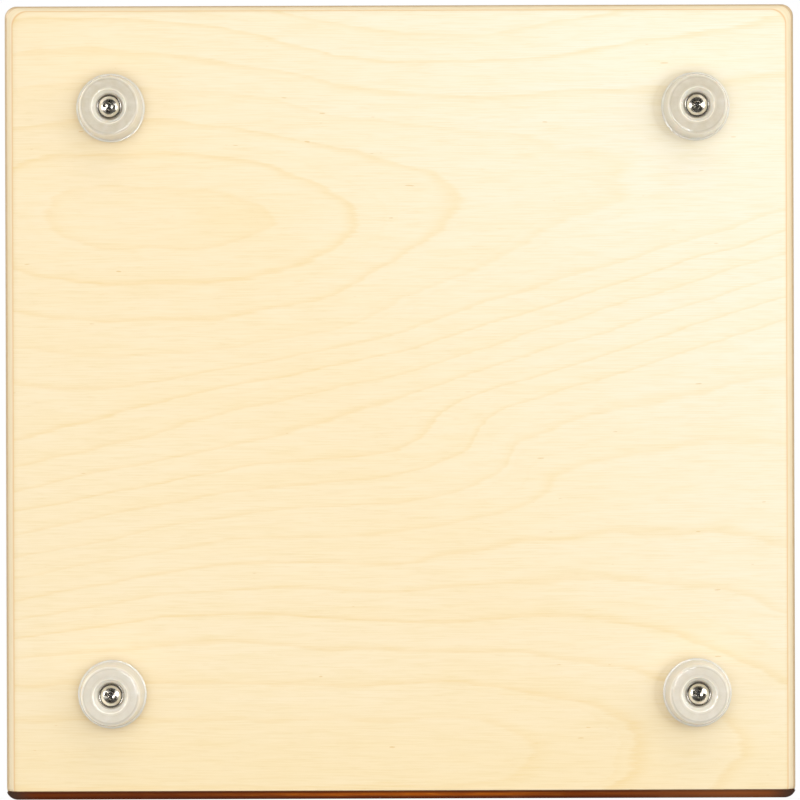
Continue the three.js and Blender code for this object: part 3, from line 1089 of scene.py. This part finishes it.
def snare(side, material):
    """A steel strip with coiled strands soldered along its upper half."""
    low_z = box_mm(f"snare_{side}")[0].z
    middle = centre(f"snare_{side}")[0]
    edge = 0.2
    rings = []
    for y, inset in ((0, edge), (edge, 0), (STRIP_T - edge, 0), (STRIP_T, edge)):
        x0, x1 = middle - STRIP_W / 2 + inset, middle + STRIP_W / 2 - inset
        z0, z1 = low_z + inset, low_z + STRIP_H - inset
        at = BAR_LOW.y - STRIP_T + y
        rings.append([(x0, at, z0), (x1, at, z0), (x1, at, z1), (x0, at, z1)])
    strip = stack("strip", rings, material)
    holes = [
        rod(SNARE_SCREW.shank + GAP, -3, 3, material, TO_BACK, (x, BAR_LOW.y, z))
        for x, z in screw_places("snare_screw_", 4)
        if abs(x - middle) < STRIP_W / 2
    ]
    subtract(strip, holes)
    reach = (STRANDS - 1) * STRAND_PITCH / 2
    strands = [coil(x, material) for x in spread(STRANDS, middle - reach, middle + reach)]
    return join(f"snare_wires_{side}", [strip, *strands])


def screw_places(prefix, count, digits=1):
    """Where screws along Y stand, as [x, z], read from their CAD nodes."""
    return [centre(f"{prefix}{i:0{digits}d}")[::2] for i in range(1, count + 1)]


# Build


def hand_over(piece, slot, *nodes):
    """Hides the frame's nodes that a piece takes the place of, and puts it on the only body."""
    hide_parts(*nodes)
    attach(piece, "root")


def build_box():
    """The six panels. Returns where the tapa's screws stand."""
    birch = bottom_material()
    bottom = capping_panel("bottom", BOTTOM_HIGH.z, BASE, birch)
    pilots = [front_pilot(x, ROWS[0], birch) for x in COLUMNS]
    r = FOOT_SCREW.shank + GAP
    for corner in FEET:
        x, y = foot_middle(corner)
        pilots.append(rod(r, BASE - 1, BASE + FOOT_PILOT, birch, None, (x, y, 0)))
    hand_over(subtract(bottom, pilots), "body_birch", "bottom_panel")
    birch = birch_material("seat", lambda x, y, z: (x, y, TOP - z, x + y, PANEL))
    seat = capping_panel("seat", SEAT_LOW.z, TOP, birch)
    seat = subtract(seat, [front_pilot(x, ROWS[-1], birch) for x in COLUMNS])
    hand_over(seat, "body_birch", "seat_panel")
    for side, hand in (("left", -1), ("right", 1)):
        birch = birch_material(side, lambda x, y, z: (z, y, HALF_W - x.absolute(), z, PANEL))
        panel = side_panel(f"side_{side}", hand, birch)
        hand_over(panel, "body_birch", f"{side}_side")
    birch = birch_material("back", lambda x, y, z: (z, x, REAR - y, x + z, BACK))
    hand_over(back_panel(birch), "body_birch", "back_panel")
    places = screw_places("tapa_screw_", 16, 2)
    hand_over(tapa_plate(tapa_material(), places), "tapa_stained", "tapa")
    return places


def build_feet(used):
    """Feet, washers and screws. Each cross stands as its screw was left when driven, and the two
    front feet get a paler copy of the rubber, painted light, the back ones a darker one. Returns the
    rubber pieces and the metal ones."""
    # Painted light: a paler copy of the rubber for the front feet and a darker one for the back
    rubber = {
        "front": rubber_material("rubber_front_painted_paler", 0.42),
        "back": rubber_material("rubber_back_painted_darker", 0.12),
    }
    foot = lathe("foot", foot_profile(), rubber["front"], 128, closed=True)
    dull = metal_material("washer_steel", DULL_NICKEL, 0.16)
    cup = lathe("cup", washer_profile(), dull, 96, closed=True)
    screw = pan_screw("screw", FOOT_SCREW, used)
    driven = {"front_left": 12, "front_right": 20, "back_left": 45, "back_right": 10}
    clear, bright = [], []
    for corner in FEET:
        x, y = foot_middle(corner)
        turn = Matrix.Rotation(math.radians(driven[corner]), 4, "Z")
        soft = set_down(copy_of(foot, f"rubber_{corner}"), (x, y, 0))
        soft.data.materials[0] = rubber[corner.split("_")[0]]
        hand_over(soft, "foot_rubber", f"foot_{corner}")
        ring = set_down(copy_of(cup, f"washer_{corner}"), (x, y, 0))
        hand_over(ring, "nickel_steel", f"foot_washer_{corner}")
        head = set_down(copy_of(screw, f"screw_{corner}"), (x, y, BEARING_Z), turn)
        hand_over(head, "nickel_steel", f"foot_screw_{corner}")
        clear.append(soft)
        bright += [ring, head]
    remove([foot, cup, screw])
    return group_of("feet", clear), group_of("washers_and_screws", bright)


def build_tapa_screws(places, black):
    """The black screws round the tapa, each turned its own way and let in a little."""
    rng = random.Random(SEED)
    pattern = flat_screw("flat", TAPA_SCREW, black)
    for i, (x, z) in enumerate(places, 1):
        turn = TO_BACK @ Matrix.Rotation(rng.uniform(0, QUARTER), 4, "Z")
        at = (x, FRONT + LET_IN + TAPA_SCREW.rise, z)
        screw = place(copy_of(pattern, f"flat_screw_{i:02d}"), at, turn)
        hand_over(screw, "black_steel", f"tapa_screw_{i:02d}")
    remove([pattern])


def build_snares(nickel):
    """The snares on their bar, which keeps the frame's own mesh, with the screws that hold them."""
    rng = random.Random(SEED + 1)
    steel = metal_material("snare_steel", SNARE_STEEL, 0.3)
    raw = raw_material()
    for node in ("snare_bar", "snare_cleat_left", "snare_cleat_right"):
        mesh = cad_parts[node].data
        mesh.materials.clear()
        mesh.materials.append(raw)
    bar_screw = pan_screw("bar_screw", BAR_SCREW, nickel)
    for side in ("left", "right"):
        hand_over(snare(side, steel), "snare_steel", f"snare_{side}")
        x, y, _ = centre(f"snare_bar_screw_{side}")
        turn = Matrix.Rotation(math.pi, 4, "X")
        screw = copy_of(bar_screw, f"bar_screw_{side}")
        place(screw, (x, y, BAR_HIGH.z + GAP), turn)
        hand_over(screw, "nickel_steel", f"snare_bar_screw_{side}")
    strip_screw = pan_screw("strip_screw", SNARE_SCREW, nickel)
    for i, (x, z) in enumerate(screw_places("snare_screw_", 4), 1):
        turn = TO_BACK @ Matrix.Rotation(rng.uniform(0, QUARTER), 4, "Z")
        at = (x, BAR_LOW.y - STRIP_T - GAP, z)
        screw = place(copy_of(strip_screw, f"strip_screw_{i}"), at, turn)
        hand_over(screw, "nickel_steel", f"snare_screw_{i}")
    remove([bar_screw, strip_screw])


# Stage: lamps and camera are placed in metres

# The floor in mm: half width, where the shadow starts and how far it reaches, the fade to white
FLOOR_HALF = 8000
SHADE_INSET = 12
SHADE_REACH = 26
SHADE = 0.94
FADE = (500, 2600)
FLOOR_TONES = ((0.82, 0.81, 0.79), (0.76, 0.75, 0.73))
SHADE_TONE = (0.06, 0.055, 0.05)
BLACK = (0, 0, 0)
WHITE = (1, 1, 1)
WARM = (1, 0.96, 0.89)


def build_floor():
    """A pale floor that shows from above only, so that the underside can be seen through it."""
    material, tree, shader, (x, y, _) = new_material("floor")
    beyond = [(c.absolute() - HALF_W + SHADE_INSET).at_least(0) for c in (x, y)]
    shade = (-(distance(*beyond) / SHADE_REACH)).exp() * SHADE
    mottle = noise(tree, x / 40, y / 40, 0.0, detail=4)
    colour = mix(tree, shade, mix(tree, mottle * 0.3, *FLOOR_TONES), SHADE_TONE)
    far = distance(x, y).ramp(*FADE)
    feed(tree, shader, {
        "Base Color": mix(tree, far, colour, BLACK),
        "Emission Color": (*WHITE, 1),
        "Emission Strength": far,
        "Roughness": 0.7,
    })
    geometry = tree.nodes.new("ShaderNodeNewGeometry")
    clear = tree.nodes.new("ShaderNodeBsdfTransparent")
    either = tree.nodes.new("ShaderNodeMixShader")
    choices = (geometry.outputs["Backfacing"], shader.outputs[0], clear.outputs[0])
    for source, socket in zip(choices, either.inputs):
        tree.links.new(source, socket)
    tree.links.new(either.outputs[0], tree.nodes["Material Output"].inputs["Surface"])
    signs = ((-1, -1), (1, -1), (1, 1), (-1, 1))
    half = FLOOR_HALF * MM
    mesh = bpy.data.meshes.new("floor")
    mesh.from_pydata([(half * i, half * j, 0) for i, j in signs], [], [[0, 1, 2, 3]])
    mesh.materials.append(material)
    floor = new_object("floor", mesh)
    for ray in ("diffuse", "glossy", "transmission", "shadow"):
        setattr(floor, f"visible_{ray}", False)


def build_world():
    """White to the camera, a soft grey surround for light, and darker in reflections."""
    grey, to_white, to_dark = 0.48, 0.52, 0.40
    world = bpy.data.worlds.new("studio")
    bpy.context.scene.world = world
    world.use_nodes = True
    tree = world.node_tree
    background = tree.nodes["Background"]
    rays = tree.nodes.new("ShaderNodeLightPath")
    camera = Value(tree, rays.outputs["Is Camera Ray"])
    through = Value(tree, rays.outputs["Is Transmission Ray"])
    mirrored = Value(tree, rays.outputs["Is Glossy Ray"]) * (1 - through)
    strength = camera * to_white - mirrored * to_dark + grey
    feed(tree, background, {"Strength": strength, "Color": (*WHITE, 1)})


def area_light(name, at, target, size, radiance, colour=WHITE, only=None):
    """A soft box of so many metres a side, given by how bright its face is, for all or `only`
    some of the objects."""
    light = bpy.data.lights.new(name, "AREA")
    light.shape = "RECTANGLE"
    light.size, light.size_y = size
    light.energy = radiance * math.pi * size[0] * size[1]
    light.color = colour
    lamp = new_object(name, light)
    lamp.location = at
    lamp.rotation_euler = (Vector(target) - Vector(at)).to_track_quat("-Z", "Y").to_euler()
    lamp.visible_camera = False
    if only:
        lamp.light_linking.receiver_collection = only
    return lamp


def group_of(name, objects):
    """A collection of objects for lamps to pick out."""
    group = bpy.data.collections.new(name)
    for obj in objects:
        group.objects.link(obj)
    return group


def build_lights(clear, bright):
    """Soft boxes under and above, and some for the rubber or the metal alone. Left and right in
    their names are the picture's."""
    under = (0, 0, BASE * MM)
    middle = (0, 0, MIDDLE * MM)
    front = area_light("under_front", (0, 0, -2.6), under, (2.2, 2.2), 2.75)
    front.visible_glossy = False
    area_light("under_left", (1.2, 0, -1.2), under, (1.0, 1.5), 0.9)
    area_light("under_right", (-1.2, 0.3, -1.0), under, (1.0, 1.5), 1.5)
    rear = area_light("under_back", (-0.3, 1.3, -1.0), under, (1.4, 0.9), 1.5)
    rear.visible_glossy = False
    for side, x in (("left", 0.9), ("right", -0.9)):
        glint = area_light(f"glint_{side}", (x, 0.1, -0.9), under, (0.35, 0.9), 8, only=bright)
        glint.visible_diffuse = False
    for side, x in (("left", 0.8), ("right", -0.8)):
        for group in (clear, bright):
            area_light(f"rim_{side}", (x, 0, -0.12), under, (1.2, 0.2), 3.0, only=group)
    area_light("glint_middle", (0.01, -0.10, -0.16), under, (0.06, 0.06), 12, only=bright)
    shine = area_light("shine_middle", (0, -0.02, -0.24), under, (0.2, 0.2), 10, only=clear)
    shine.visible_diffuse = shine.visible_transmission = False
    area_light("high_front", (1.4, -1.9, 2.3), middle, (1.4, 1.4), 6.5, WARM)
    back = area_light("high_back", (-1.8, 1.6, 2.0), middle, (1.4, 1.4), 5.5, WARM)
    back.visible_glossy = False
    area_light("side_fill", (2.6, 1.4, 1.0), middle, (1.6, 1.6), 4.0, WARM)


def build_camera():
    """Straight below the box, square to it, with the photograph's slight roll."""
    distance_off = 1.9
    outline_z = 0.018
    frame_width = 0.30435
    shift_y = 0.0006
    roll_degrees = -0.18
    data = bpy.data.cameras.new("camera")
    data.sensor_width = 36
    data.lens = data.sensor_width * distance_off / frame_width
    data.clip_end = 100
    camera = new_object("camera", data)
    camera.location = (0, shift_y, outline_z - distance_off)
    look_up = Matrix(((-1, 0, 0), (0, 1, 0), (0, 0, -1))).to_4x4()
    roll = Matrix.Rotation(math.radians(roll_degrees), 4, "Z")
    camera.rotation_euler = (look_up @ roll).to_euler()
    bpy.context.scene.camera = camera


nickel = metal_material("nickel", NICKEL, 0.2, 0.3)
# Nickel with painted shade and burrs in the foot screws' crosses
used = shaded_recess_screw_material("nickel_shaded_recess", NICKEL, 0.2, FOOT_SCREW)
black = metal_material("black_oxide", BLACK_OXIDE, 0.35)
screw_spots = build_box()
clear_pieces, bright_pieces = build_feet(used)
build_tapa_screws(screw_spots, black)
build_snares(nickel)
build_floor()
build_world()
build_lights(clear_pieces, bright_pieces)
build_camera()
bpy.context.scene.view_settings.view_transform = "Standard"
